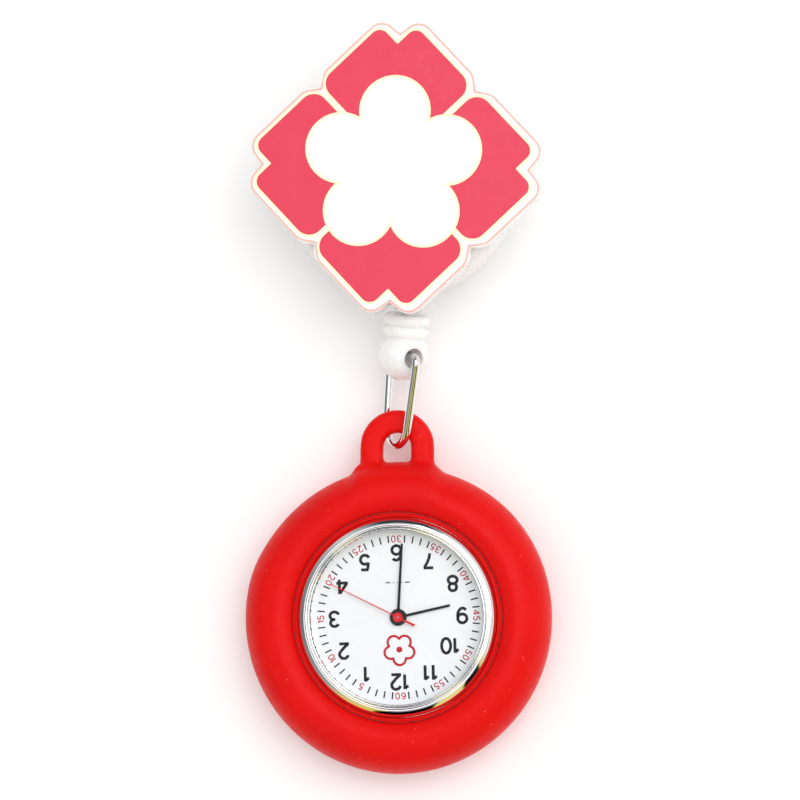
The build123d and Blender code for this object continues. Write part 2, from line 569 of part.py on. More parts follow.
bridge_2d = Polyline(
    *[point - WATCH for point in (posts[0], third + Vector(0.4, 2.3, 0), posts[1] + Vector(0.5, 0, 0))],
    (4.2, 2.4), (1.4, 0.3), (1.0, -3.0), (-2.0, -5.2), posts[2] - WATCH, (-7.9, -1.0), close=True,
)
bridge = extrude(make_face(bridge_2d), BRIDGE_HIGH - BRIDGE_LOW)
bridge = Pos(WATCH.X, WATCH.Y, BRIDGE_LOW) * bridge
for post in posts:
    bridge += rod(post, 1.1, BRIDGE_LOW, BRIDGE_HIGH)
    bridge -= rod(post, 0.36, BRIDGE_LOW - 1, BRIDGE_HIGH + 1)
for pivot, radius in ((WATCH, PIVOT_R), (third, 0.2), (inter, PIVOT_R), (rotor_at, PIVOT_R)):
    bridge -= rod(pivot, radius + FIT, BRIDGE_LOW + 0.15, BRIDGE_HIGH + 1)
bridge -= rod(cell_at, CELL_R + 0.4, BRIDGE_LOW - 1, BRIDGE_HIGH + 1)
save("train_bridge", bridge)

# ---------------------------------------------------------------- motor and electronics
stator_at = WATCH + Vector(-2.85, -3.6, 0)
stator = block(stator_at, (8.9, 2.6), 5.45, 5.75)
stator -= rod(rotor_at, 1.15, 5, 6)
save("stator", stator)
coil_at = WATCH + Vector(-2.85, -6.75, 0)
core = block(coil_at, (7.6, 0.7), 4.95, 5.25)
for side in (-1, 1):
    core += block(WATCH + Vector(-2.85 + side * 3.4, -5.0, 0), (0.8, 4.2), 5.25, 5.44)
save("coil_core", core)
winding = Pos(coil_at.X, coil_at.Y, 5.1) * Rot(0, 90, 0) * (Cylinder(0.88, 5.6) - Box(0.32, 0.72, 7))
save("coil_winding", winding)
board = block(WATCH + Vector(-3.9, 5.8, 0), (5.0, 3.6), 4.75, 5.0)
board += block(WATCH + Vector(-3.0, 5.2, 0), (1.6, 1.6), 5.0, 5.5)
save("circuit_board", board)
quartz = Pos(WATCH.X - 3.9, WATCH.Y + 6.9, 5.59) * Rot(0, 90, 0) * Cylinder(0.6, 4.4)
save("quartz_crystal", quartz)
cell = rod(cell_at, CELL_R, 3.7, 6.25)
cell -= ring(cell_at, 2.75, 2.55, 3.6, 3.8)
save("battery", cell)
strap = block(cell_at + polar(1.6, 75), (1.6, 7.2), 3.45, 3.68, 75 - 90)
save("battery_strap", strap)
screws = []
for post in posts:
    screw = rod(post, 0.3, BRIDGE_LOW, 6.0) + rod(post, 0.62, BRIDGE_LOW - 0.3, BRIDGE_LOW - TOUCH)
    screw -= block(post, (1.4, 0.16), BRIDGE_LOW - 0.4, BRIDGE_LOW - 0.18, 35)
    screws.append(screw)
save("movement_screws", *screws)

holder = turned(WATCH, [(MOVEMENT_R + 0.03, 4.4), (12.8, 4.4), (13.4, 4.8), (13.4, PLATE_HIGH),
                        (MOVEMENT_R + 0.03, PLATE_HIGH)])
holder -= Pos(WATCH.X - 11.8, WATCH.Y, STEM_Z) * Rot(0, 90, 0) * Cylinder(0.7, 4.6)
save("movement_holder", holder)

# ---------------------------------------------------------------- stem and crown
def lying(x_low, x_high, radius):
    """Cylinder on the stem's axis between two distances from the watch centre, towards -X."""
    middle = WATCH + Vector(-(x_low + x_high) / 2, 0, STEM_Z)
    return Pos(middle.X, middle.Y, middle.Z) * Rot(0, 90, 0) * Cylinder(radius, x_high - x_low)


STEM_R = 0.4
stem = lying(5.6, 16.9, STEM_R)
stem -= lying(7.15, 8.35, STEM_R + 1) - lying(7.05, 8.45, 0.25)
save("stem", stem)
clutch = lying(5.8, 7.1, 0.56) - lying(5.5, 7.5, STEM_R + FIT)
save("clutch_wheel", clutch)
lever = block(WATCH + Vector(-8.0, 0.72, 0), (0.44, 1.75), 5.05, 5.17)
lever += block(WATCH + Vector(-8.0, 0, 0), (0.4, 0.4), 5.05, 5.28)
save("setting_lever", lever)
CROWN_R = 1.75
crown = lying(16.0, 17.6, CROWN_R) - lying(15.0, 16.9 + TOUCH, STEM_R + TOUCH) - lying(15.5, 16.5, 1.25)
FLUTES = 18
for flute in range(FLUTES):
    angle = math.radians(flute * 360 / FLUTES)
    groove = Cylinder(0.13, 3)
    offset = Vector(0, CROWN_R * math.cos(angle), CROWN_R * math.sin(angle))
    crown -= Pos(WATCH.X - 16.8, WATCH.Y + offset.Y, STEM_Z + offset.Z) * Rot(0, 90, 0) * groove
save("crown", crown)
save("crown_gasket", lying(16.05, 16.45, 1.24) - lying(15, 17, STEM_R + TOUCH))
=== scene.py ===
import math

import bpy
from mathutils import Matrix, Vector


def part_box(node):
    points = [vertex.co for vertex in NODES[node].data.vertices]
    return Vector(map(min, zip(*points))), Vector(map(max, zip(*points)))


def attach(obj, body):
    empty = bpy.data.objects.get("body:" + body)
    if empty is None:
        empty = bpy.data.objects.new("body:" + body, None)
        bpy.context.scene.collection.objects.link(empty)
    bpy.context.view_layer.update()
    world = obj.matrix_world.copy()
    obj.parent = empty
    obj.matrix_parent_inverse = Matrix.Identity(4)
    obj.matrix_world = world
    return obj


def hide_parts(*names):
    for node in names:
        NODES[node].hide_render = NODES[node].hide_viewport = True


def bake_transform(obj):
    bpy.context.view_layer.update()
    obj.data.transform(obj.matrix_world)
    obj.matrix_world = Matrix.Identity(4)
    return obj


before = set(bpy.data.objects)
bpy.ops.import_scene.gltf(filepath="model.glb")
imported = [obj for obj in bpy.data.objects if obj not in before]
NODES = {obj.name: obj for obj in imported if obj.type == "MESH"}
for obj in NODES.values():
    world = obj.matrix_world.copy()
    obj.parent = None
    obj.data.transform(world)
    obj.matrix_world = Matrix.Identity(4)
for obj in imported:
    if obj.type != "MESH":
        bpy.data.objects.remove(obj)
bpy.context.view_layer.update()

# ---------------------------------------------------------------- places and sizes, in metres
MM = 0.001


def middle(node):
    """Centre of a CAD node's box."""
    low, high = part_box(node)
    return (low + high) / 2


WATCH = middle("watch_case")
PLATE = middle("emblem_plate")
PLATE_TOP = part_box("emblem_plate")[1].z
PLATE_TURN = math.radians(-2.2)       # the plate is glued askew
DIAL_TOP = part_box("dial")[1].z
BEZEL_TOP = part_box("watch_case")[1].z
BEAD_R = 3.6 * MM
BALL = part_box("bead")[0] + Vector((BEAD_R, BEAD_R, BEAD_R))
MOUTH = middle("cord_eyelet")
MOUTH.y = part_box("cord_eyelet")[0].y
CORD_R = 0.36 * MM


# ---------------------------------------------------------------- materials
class Finish:
    """A Principled material whose colour, roughness and relief vary with noise in the part's own space."""

    def __init__(self, name, colour, roughness, metallic=0.0, **sockets):
        self.material = bpy.data.materials.new(name)
        self.material.use_nodes = True
        self.tree = self.material.node_tree
        self.shader = self.tree.nodes["Principled BSDF"]
        self.place = self.add("ShaderNodeTexCoord").outputs["Object"]
        self.colour = (*colour, 1)
        self.last_bump = None
        self.shader.inputs["Base Color"].default_value = self.colour
        self.shader.inputs["Roughness"].default_value = roughness
        self.shader.inputs["Metallic"].default_value = metallic
        for socket, value in sockets.items():
            self.shader.inputs[socket.replace("_", " ")].default_value = value

    def add(self, kind, **settings):
        node = self.tree.nodes.new(kind)
        for key, value in settings.items():
            setattr(node, key, value)
        return node

    def link(self, output, socket):
        self.tree.links.new(output, socket)

    def moved(self, centre=(0, 0, 0), stretch=(1, 1, 1)):
        """The part's coordinates about a centre, squeezed along each axis."""
        mapping = self.add("ShaderNodeMapping")
        mapping.inputs["Scale"].default_value = stretch
        mapping.inputs["Location"].default_value = [-c * s for c, s in zip(centre, stretch)]
        self.link(self.place, mapping.inputs["Vector"])
        return mapping.outputs["Vector"]

    def turned(self, centre, radius_scale=1.0, angle_scale=0.002):
        """Coordinates that run round a centre: noise in them makes rings, as turning and brushing leave."""
        parts = self.add("ShaderNodeSeparateXYZ")
        self.link(self.moved(centre), parts.inputs[0])
        squares = []
        for axis in "XY":
            square = self.add("ShaderNodeMath", operation="POWER")
            self.link(parts.outputs[axis], square.inputs[0])
            square.inputs[1].default_value = 2
            squares.append(square.outputs[0])
        total = self.add("ShaderNodeMath", operation="ADD")
        self.link(squares[0], total.inputs[0])
        self.link(squares[1], total.inputs[1])
        root = self.add("ShaderNodeMath", operation="SQRT")
        self.link(total.outputs[0], root.inputs[0])
        radius = self.add("ShaderNodeMath", operation="MULTIPLY")
        self.link(root.outputs[0], radius.inputs[0])
        radius.inputs[1].default_value = radius_scale
        angle = self.add("ShaderNodeMath", operation="ARCTAN2")
        self.link(parts.outputs["Y"], angle.inputs[0])
        self.link(parts.outputs["X"], angle.inputs[1])
        arc = self.add("ShaderNodeMath", operation="MULTIPLY")
        self.link(angle.outputs[0], arc.inputs[0])
        arc.inputs[1].default_value = angle_scale
        joined = self.add("ShaderNodeCombineXYZ")
        self.link(radius.outputs[0], joined.inputs["X"])
        self.link(arc.outputs[0], joined.inputs["Y"])
        return joined.outputs[0]

    def noise(self, size, detail=2.0, vector=None):
        """Noise whose features are about size millimetres."""
        texture = self.add("ShaderNodeTexNoise")
        texture.inputs["Scale"].default_value = 1 / (size * MM)
        texture.inputs["Detail"].default_value = detail
        self.link(vector or self.place, texture.inputs["Vector"])
        return texture.outputs["Fac"]

    def cells(self, size, vector=None):
        """Distance to scattered points about size millimetres apart."""
        texture = self.add("ShaderNodeTexVoronoi")
        texture.inputs["Scale"].default_value = 1 / (size * MM)
        self.link(vector or self.place, texture.inputs["Vector"])
        return texture.outputs["Distance"]

    def spread(self, value, low, high, to_low=0.0, to_high=1.0):
        """Stretches the band low to high of a value over to_low to to_high."""
        node = self.add("ShaderNodeMapRange")
        node.inputs["From Min"].default_value = low
        node.inputs["From Max"].default_value = high
        node.inputs["To Min"].default_value = to_low
        node.inputs["To Max"].default_value = to_high
        self.link(value, node.inputs["Value"])
        return node.outputs["Result"]

    def times(self, first, second):
        node = self.add("ShaderNodeMath", operation="MULTIPLY")
        self.link(first, node.inputs[0])
        self.link(second, node.inputs[1])
        return node.outputs[0]

    def tint(self, other, share):
        """Mixes another colour in by a share from 0 to 1."""
        mix = self.add("ShaderNodeMix", data_type="RGBA")
        mix.inputs[6].default_value = self.colour
        if self.shader.inputs["Base Color"].is_linked:
            self.link(self.shader.inputs["Base Color"].links[0].from_socket, mix.inputs[6])
        mix.inputs[7].default_value = (*other, 1)
        self.link(share, mix.inputs[0])
        self.link(mix.outputs[2], self.shader.inputs["Base Color"])
        return self

    def rough(self, value, low, high):
        """Roughness that follows a value from 0.3 to 0.7, as noise gives."""
        self.link(self.spread(value, 0.3, 0.7, low, high), self.shader.inputs["Roughness"])
        return self

    def relief(self, value, height, invert=False):
        """Bump of about height millimetres."""
        bump = self.add("ShaderNodeBump", invert=invert)
        bump.inputs["Distance"].default_value = height * MM
        self.link(value, bump.inputs["Height"])
        if self.last_bump:
            self.link(self.last_bump, bump.inputs["Normal"])
        self.last_bump = bump.outputs["Normal"]
        self.link(self.last_bump, self.shader.inputs["Normal"])
        return self


def silicone():
    """Soft red rubber: satin, with fine moulded grain, faint cloudiness and clinging dust."""
    f = Finish("silicone_red", (0.76, 0.004, 0.003), 0.42, Specular_IOR_Level=0.12, Subsurface_Weight=0.1,
               Subsurface_Scale=0.8 * MM, Sheen_Weight=0.06, Sheen_Roughness=0.25)
    f.shader.inputs["Subsurface Radius"].default_value = (1.0, 0.15, 0.1)
    f.tint((0.6, 0.003, 0.003), f.spread(f.noise(9, 3), 0.45, 0.75, 0, 0.4))
    f.tint((0.82, 0.015, 0.008), f.spread(f.noise(1.6, 4), 0.55, 0.8, 0, 0.35))
    patch = f.spread(f.noise(5, 2), 0.42, 0.6)
    dust = f.times(f.spread(f.cells(1.5), 0.055, 0.03), patch)
    f.tint((0.95, 0.35, 0.22), dust)
    f.rough(f.noise(1.2, 4), 0.36, 0.52)
    f.relief(f.noise(0.12, 3), 0.006)
    f.relief(f.noise(2.4, 2), 0.03)
    f.relief(dust, 0.03)
    return f.material


def chrome(name, roughness, wear=0.5):
    """Polished plating with hairline scratches and slight orange peel."""
    f = Finish(name, (0.87, 0.87, 0.88), roughness, 1.0)
    f.tint((0.7, 0.69, 0.66), f.spread(f.noise(3, 3), 0.5, 0.75, 0, 0.3))
    scratch = f.spread(f.noise(0.5, 4, f.moved((0, 0, 0), (1, 0.05, 1))), 0.6, 0.75)
    f.relief(scratch, 0.0012 * wear, True)
    f.relief(f.noise(1.8, 1), 0.002 * wear)
    f.rough(f.noise(0.9, 4), roughness * 0.6, roughness * 1.8)
    return f.material


def turned_metal(name, colour, roughness, centre, ring=0.12, height=0.003):
    """Metal turned or brushed in rings about a centre."""
    f = Finish(name, colour, roughness, 1.0)
    rings = f.noise(ring, 3, f.turned(centre))
    f.tint([0.62 * c for c in colour], f.spread(rings, 0.45, 0.75, 0, 0.6))
    f.relief(rings, height)
    f.rough(f.noise(2, 3), roughness * 0.8, roughness * 1.3)
    return f.material


def sheet_metal(name, colour, roughness, grain=(1, 0.06, 1), tarnish=0.35):
    """Rolled or plated sheet: grain along one axis, a few marks and slight tarnish."""
    f = Finish(name, colour, roughness, 1.0)
    lines = f.noise(0.14, 3, f.moved((0, 0, 0), grain))
    f.tint([0.5 * c for c in colour], f.spread(f.noise(2.5, 4), 0.5, 0.8, 0, tarnish))
    f.tint([0.75 * c for c in colour], f.spread(lines, 0.5, 0.8, 0, 0.5))
    f.relief(lines, 0.002)
    f.relief(f.noise(1.2, 2), 0.003)
    f.rough(f.noise(0.7, 4), roughness * 0.75, roughness * 1.35)
    return f.material


def plastic(name, colour, roughness, dirt=(0.5, 0.47, 0.44), grain=0.25, subsurface=0.1, coat=0.0):
    """Moulded plastic: flow marks, faint grime and a fine spark-eroded grain."""
    f = Finish(name, colour, roughness, 0.0, Subsurface_Weight=subsurface, Subsurface_Scale=0.6 * MM,
               Coat_Weight=coat, Coat_Roughness=0.08)
    f.shader.inputs["Subsurface Radius"].default_value = (1.0, 0.9, 0.85)
    f.tint([c * d for c, d in zip(colour, dirt)], f.spread(f.noise(4, 4), 0.55, 0.85, 0, 0.16))
    f.relief(f.noise(grain, 3), 0.003)
    f.relief(f.noise(3, 2), 0.02)
    f.rough(f.noise(0.8, 3), roughness * 0.75, roughness * 1.35)
    return f.material


def ink(name, colour, roughness=0.4, mottle=(0.9, 0.85, 0.85), shine=0.3):
    """Printed ink: a fine dot screen over slightly uneven colour."""
    f = Finish(name, colour, roughness, Specular_IOR_Level=shine)
    dots = f.spread(f.cells(0.13), 0.25, 0.5)
    patches = f.spread(f.noise(3, 3), 0.35, 0.65, 0.2, 0.7)
    f.tint([c * m for c, m in zip(colour, mottle)], f.times(dots, patches))
    f.relief(f.noise(0.15, 2), 0.002)
    f.rough(f.noise(1.0, 3), roughness * 0.8, roughness * 1.2)
    return f.material


def acrylic():
    """Cast acrylic sheet, milky from the print behind it, with saw marks on its edge."""
    f = Finish("acrylic_plate", (0.93, 0.87, 0.85), 0.1, Subsurface_Weight=0.5, Subsurface_Scale=1.2 * MM,
               Coat_Weight=0.6, Coat_Roughness=0.04)
    f.shader.inputs["Subsurface Radius"].default_value = (1.0, 0.55, 0.5)
    f.tint((0.93, 0.62, 0.58), f.spread(f.noise(6, 3), 0.5, 0.8, 0, 0.25))
    f.relief(f.noise(0.25, 2, f.moved((0, 0, 0), (1, 1, 0.05))), 0.004)
    f.relief(f.noise(4, 1), 0.01)
    f.rough(f.noise(1.5, 3), 0.07, 0.16)
    return f.material


def glass():
    """Mineral glass that lets lamps through, with faint smears."""
    f = Finish("crystal_glass", (1, 1, 1), 0.0, Transmission_Weight=1.0, IOR=1.22)
    f.relief(f.noise(7, 2), 0.0006)
    f.rough(f.noise(3, 4), 0.0, 0.03)
    clear = f.add("ShaderNodeBsdfTransparent")
    path = f.add("ShaderNodeLightPath")
    mix = f.add("ShaderNodeMixShader")
    f.link(path.outputs["Is Shadow Ray"], mix.inputs[0])
    f.link(f.shader.outputs[0], mix.inputs[1])
    f.link(clear.outputs[0], mix.inputs[2])
    f.link(mix.outputs[0], f.tree.nodes["Material Output"].inputs["Surface"])
    return f.material


def dial_paint():
    """Silvery white sunburst paint."""
    f = Finish("dial_silver_white", (0.75, 0.775, 0.815), 0.38, 0.12, Coat_Weight=0.15, Coat_Roughness=0.2)
    rays = f.noise(0.3, 3, f.turned(WATCH, 0.03, 0.012))
    f.tint((0.68, 0.71, 0.77), f.spread(rays, 0.45, 0.75, 0, 0.5))
    f.tint((0.84, 0.845, 0.86), f.spread(f.noise(0.08, 2), 0.55, 0.7, 0, 0.4))
    f.relief(f.noise(0.06, 2), 0.001)
    f.rough(f.noise(0.5, 3), 0.32, 0.46)
    return f.material


def lacquer(name, colour, roughness=0.25):
    """Paint on a stamped hand, thinner and lighter here and there."""
    f = Finish(name, colour, roughness, Specular_IOR_Level=0.12)
    f.tint([min(1, c * 1.3 + 0.004) for c in colour], f.spread(f.noise(0.5, 4), 0.55, 0.8, 0, 0.4))
    f.relief(f.noise(0.1, 2), 0.002)
    f.rough(f.noise(0.6, 3), roughness * 0.7, roughness * 1.4)
    return f.material


def rubber(name, colour):
    f = Finish(name, colour, 0.6, Specular_IOR_Level=0.3)
    f.tint([c * 2.2 + 0.01 for c in colour], f.spread(f.noise(0.4, 4), 0.55, 0.8, 0, 0.5))
    f.relief(f.noise(0.1, 3), 0.006)
    f.rough(f.noise(0.5, 3), 0.5, 0.75)
    return f.material


def wound_copper():
    """Fine enamelled wire wound side by side along X."""
    f = Finish("copper_winding", (0.72, 0.27, 0.12), 0.3, 0.9)
    waves = f.add("ShaderNodeTexWave", bands_direction="X")
    waves.inputs["Scale"].default_value = 1800
    waves.inputs["Distortion"].default_value = 0.6
    f.link(f.place, waves.inputs["Vector"])
    f.tint((0.3, 0.08, 0.03), f.spread(waves.outputs["Fac"], 0.4, 0.0, 0, 0.8))
    f.relief(waves.outputs["Fac"], 0.02)
    f.rough(f.noise(0.4, 3), 0.2, 0.4)
    return f.material


def circuit():
    """Green solder mask with copper lines faintly under it."""
    f = Finish("board_green", (0.02, 0.16, 0.06), 0.35, Coat_Weight=0.3)
    tracks = f.add("ShaderNodeTexBrick", offset=0.35)
    tracks.inputs["Scale"].default_value = 1 / MM
    tracks.inputs["Mortar Size"].default_value = 0.06
    f.link(f.place, tracks.inputs["Vector"])
    f.tint((0.2, 0.33, 0.1), tracks.outputs["Fac"])
    f.relief(tracks.outputs["Fac"], 0.01)
    f.rough(f.noise(0.5, 3), 0.25, 0.5)
    return f.material


def braid():
    """White polyester cord: fine fibres and a little grey in the folds."""
    f = Finish("cord_fibre", (0.86, 0.85, 0.83), 0.7, Sheen_Weight=0.4, Sheen_Roughness=0.4)
    fibres = f.noise(0.06, 3, f.moved((0, 0, 0), (1, 0.3, 1)))
    f.tint((0.55, 0.53, 0.5), f.spread(fibres, 0.45, 0.75, 0, 0.6))
    f.relief(fibres, 0.01)
    f.rough(f.noise(0.3, 2), 0.6, 0.8)
    return f.material


def foam_tape():
    """White foam tape with open cells."""
    f = Finish("foam_tape", (0.8, 0.79, 0.76), 0.75)
    f.tint((0.5, 0.48, 0.45), f.spread(f.cells(0.12), 0.3, 0.0, 0, 0.7))
    f.relief(f.cells(0.12), 0.02)
    f.rough(f.noise(0.5, 2), 0.65, 0.85)
    return f.material


WHITE_PLASTIC = plastic("abs_white", (0.92, 0.905, 0.905), 0.22, subsurface=0.03, coat=0.2)
SILICONE = silicone()
BEAD_PLASTIC = plastic("bead_white", (0.97, 0.945, 0.945), 0.24, subsurface=0.85, coat=0.25)
BEAD_PLASTIC.node_tree.nodes["Principled BSDF"].inputs["Subsurface Scale"].default_value = 1.2 * MM
PLATED = sheet_metal("nickel_plate", (0.74, 0.72, 0.68), 0.2)
SPRING_STEEL = sheet_metal("spring_steel", (0.5, 0.5, 0.52), 0.3, (0.06, 1, 1))
BRASS = turned_metal("brass_wheels", (0.83, 0.62, 0.28), 0.22, WATCH, 0.08)
STEEL = sheet_metal("motor_steel", (0.6, 0.6, 0.6), 0.3, (0.05, 1, 1))
GOLD_BRIDGE = sheet_metal("bridge_nickel", (0.78, 0.74, 0.66), 0.26, (1, 0.04, 1))
WHEEL_PLASTIC = plastic("acetal_wheels", (0.75, 0.72, 0.62), 0.35)
BLACK_PLASTIC = plastic("movement_black", (0.03, 0.032, 0.036), 0.4, (1.8, 1.8, 1.8), subsurface=0.0)
RUBBER = rubber("gasket_black", (0.02, 0.02, 0.022))
BLACK_PAINT = lacquer("hand_black", (0.004, 0.004, 0.005))
RED_PAINT = lacquer("hand_red", (0.66, 0.008, 0.02))
BLACK_INK = ink("ink_black", (0.004, 0.004, 0.006), 0.35, (2.0, 2.0, 2.0), 0.1)
RED_INK = ink("ink_red", (0.5, 0.004, 0.02), 0.4, (1.2, 1.5, 1.5), 0.1)
WHITE_INK = ink("ink_white", (0.94, 0.94, 0.94), 0.3, (0.97, 0.965, 0.96))
CREAM_INK = ink("ink_cream", (0.96, 0.92, 0.63), 0.3, (0.99, 0.98, 0.95))
CRIMSON_INK = ink("ink_crimson", (0.78, 0.05, 0.103), 0.32, (0.95, 0.8, 0.85))
# painted reflection: salmon colour standing in for the crimson print seen through the plate's edge
SALMON_EDGE_REFLECTION = ink("salmon_painted_reflection", (0.88, 0.5, 0.43), 0.3)
CHROME = chrome("chrome_case", 0.05)
CHROME_WIRE = chrome("chrome_wire", 0.08, 1.0)

FINISHES = {
    acrylic(): ["emblem_plate"],
    foam_tape(): ["emblem_adhesive"],
    WHITE_PLASTIC: ["reel_front_cover", "reel_back_cover", "cord_eyelet"],
    BEAD_PLASTIC: ["bead"],
    plastic("spool_grey", (0.55, 0.56, 0.58), 0.35): ["spool", "clip_washer"],
    SPRING_STEEL: ["power_spring", "clip_spring"],
    braid(): ["cord_coil", "cord_inner_run"],
    BRASS: ["cord_crimp", "hour_wheel", "centre_wheel", "minute_wheel"],
    PLATED: ["clip_rivet", "clip_upper_jaw", "clip_lower_jaw", "clip_pin"],
    CHROME_WIRE: ["wire_loop"],
    CHROME: ["watch_case", "crown"],
    glass(): ["crystal"],
    RUBBER: ["crystal_gasket", "case_back_gasket", "crown_gasket"],
    dial_paint(): ["dial"],
    BLACK_PAINT: ["hour_hand", "minute_hand"],
    RED_PAINT: ["second_hand"],
    WHEEL_PLASTIC: ["third_wheel", "intermediate_wheel"],
    sheet_metal("second_arbor", (0.2, 0.2, 0.21), 0.35): ["second_wheel"],
    plastic("magnet_grey", (0.09, 0.09, 0.1), 0.3, (2, 2, 2), subsurface=0.0): ["rotor"],
    BLACK_PLASTIC: ["main_plate", "movement_holder"],
    GOLD_BRIDGE: ["train_bridge", "battery_strap"],
    STEEL: ["stator", "coil_core", "movement_screws", "stem", "clutch_wheel", "setting_lever",
            "quartz_crystal"],
    wound_copper(): ["coil_winding"],
    circuit(): ["circuit_board"],
    turned_metal("cell_steel", (0.72, 0.72, 0.7), 0.28, middle("battery"), 0.1): ["battery"],
    turned_metal("back_steel", (0.66, 0.66, 0.65), 0.24, WATCH, 0.09, 0.004): ["case_back"],
}
for finish, names in FINISHES.items():
    for name in names:
        NODES[name].data.materials.clear()
        NODES[name].data.materials.append(finish)


def soften(node, width, angle=35):
    """Rounds a CAD node's sharp edges a little, with modifiers that leave its mesh alone."""
    piece = NODES[node]
    weld = piece.modifiers.new("weld", "WELD")
    weld.merge_threshold = 0.0005 * MM
    bevel = piece.modifiers.new("edge", "BEVEL")
    bevel.width = width * MM
    bevel.segments = 3
    bevel.limit_method = "ANGLE"
    bevel.angle_limit = math.radians(angle)
    bevel.harden_normals = True


for node, width in {"emblem_plate": 0.16, "clip_upper_jaw": 0.12, "clip_lower_jaw": 0.1}.items():
    soften(node, width)


# ---------------------------------------------------------------- mesh helpers
def piece_from(name, mesh, body, finish, smooth=False):
    """A new piece with a mesh in the row frame, on a body."""
    piece = bpy.data.objects.new(name, mesh)
    bpy.context.scene.collection.objects.link(piece)
    mesh.materials.clear()
    mesh.materials.append(finish)
    if smooth:
        mesh.shade_smooth()
    if body:
        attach(piece, body)
    return piece


def curve_mesh(splines, place, flat, depth=0.0, bevel=0.0, squash=1.0, closed=True, sides=3):
    """Mesh of a filled outline (flat) or of a round stroke along lines (not flat), put in place."""
    curve = bpy.data.curves.new("outline", "CURVE")
    curve.dimensions = "2D" if flat else "3D"
    curve.fill_mode = "BOTH" if flat else "FULL"
    curve.extrude = depth / 2
    curve.bevel_depth = bevel
    curve.bevel_resolution = sides
    curve.offset = -bevel if flat else 0
    curve.use_fill_caps = True
    for points in splines:
        spline = curve.splines.new("POLY")
        spline.points.add(len(points) - 1)
        for point, (x, y) in zip(spline.points, points):
            point.co = (x, y, 0, 1)
        spline.use_cyclic_u = closed
    holder = bpy.data.objects.new("outline", curve)
    bpy.context.scene.collection.objects.link(holder)
    bpy.context.view_layer.update()
    mesh = bpy.data.meshes.new_from_object(holder)
    bpy.data.objects.remove(holder)
    mesh.transform(place @ Matrix.Diagonal((1, 1, squash, 1)))
    return mesh


def joined(meshes):
    """One mesh from several."""
    holders = []
    for mesh in meshes:
        holder = bpy.data.objects.new("part", mesh)
        bpy.context.scene.collection.objects.link(holder)
        holders.append(holder)
    with bpy.context.temp_override(active_object=holders[0], selected_editable_objects=holders):
        bpy.ops.object.join()
    mesh = holders[0].data
    bpy.data.objects.remove(holders[0])
    return mesh


def arc(centre, radii, start, end, steps=20):
    """Points of an ellipse's arc between two angles in degrees."""
    points = []
    for step in range(steps + 1):
        angle = math.radians(start + (end - start) * step / steps)
        points.append((centre[0] + radii[0] * math.cos(angle), centre[1] + radii[1] * math.sin(angle)))
    return points


def rounded(corners, steps=8):
    """Closed outline through (x, y, radius) corners, each rounded to its radius."""
    points = []
    for index, (x, y, radius) in enumerate(corners):
        corner = Vector((x, y))
        before = (Vector(corners[index - 1][:2]) - corner).normalized()
        after = (Vector(corners[(index + 1) % len(corners)][:2]) - corner).normalized()
        if radius == 0:
            points.append(corner)
            continue
        half = before.angle(after) / 2
        start = corner + before * radius / math.tan(half)
        end = corner + after * radius / math.tan(half)
        centre = corner + (before + after).normalized() * radius / math.sin(half)
        for step in range(steps + 1):
            chord = start.lerp(end, step / steps) - centre
            points.append(centre + chord.normalized() * radius)
    return [(p[0], p[1]) for p in points]


# ---------------------------------------------------------------- emblem plate's print
PLATE_PLACE = Matrix.Translation((PLATE.x, PLATE.y, 0)) @ Matrix.Rotation(PLATE_TURN, 4, "Z")
LAYER = 0.012 * MM                    # one pass of ink
ROOT2 = math.sqrt(2)


def plate_outline(inset):
    """The plate's lobed outline, drawn in from its edge by inset millimetres."""
    notch = 18.75 - 1.28 * inset
    side = 23.67 - ROOT2 * inset       # x + y along the straight side
    hump_x = (side - notch) / 1.8
    shoulder_x = 10.42 - 0.62 * inset
    half = [
        (0, notch, 0.1),
        (hump_x, side - hump_x, 2.2 - inset),
        (shoulder_x, side - shoulder_x, 1.9 - 0.5 * inset),
    ]
    corners = []
    for quarter in range(4):
        turn = Matrix.Rotation(math.radians(-90 * quarter), 2)
        side_two = [(-x, y, r) for x, y, r in reversed(half[1:])]
        for x, y, r in side_two + half + [(10.9 - inset, 10.9 - inset, 0.1)]:
            point = turn @ Vector((x, y))
            corners.append((point.x, point.y, r))
    return rounded(corners)


def petal_outline(grow):
    """One heart-shaped petal pointing up +Y, grown by grow millimetres."""
    notch = 17.0 + ROOT2 * grow
    side = 22.05 + ROOT2 * grow
    gap = (0.47 - grow) * ROOT2
    hump = ((side - notch) / 2, (side + notch) / 2, 1.4 + grow)
    shoulder = ((side - gap) / 2, (side + gap) / 2, 2.1 + grow)
    left = [(-x, y, r) for x, y, r in (shoulder, hump)]
    return rounded([(0, gap, 0)] + left + [(0, notch, 0.18)] + [hump, shoulder])


def flower_outline(petal_r, petal_at, petals=5, turn=90):
    """Outer outline of a ring of round petals."""
    half_step = math.pi / petals
    reach = petal_at * math.cos(half_step) + math.sqrt(petal_r ** 2 - (petal_at * math.sin(half_step)) ** 2)
    meet = Vector((reach * math.cos(half_step), reach * math.sin(half_step)))
    swing = math.degrees(math.atan2(meet.y, meet.x - petal_at))
    points = []
    for petal in range(petals):
        direction = turn + petal * 360 / petals
        centre = Vector((petal_at, 0))
        for x, y in arc(centre, (petal_r, petal_r), -swing, swing, 24)[:-1]:
            point = Matrix.Rotation(math.radians(direction), 2) @ Vector((x, y))
            points.append((point.x, point.y))
    return points


def scaled(points, factor=MM):
    return [(x * factor, y * factor) for x, y in points]


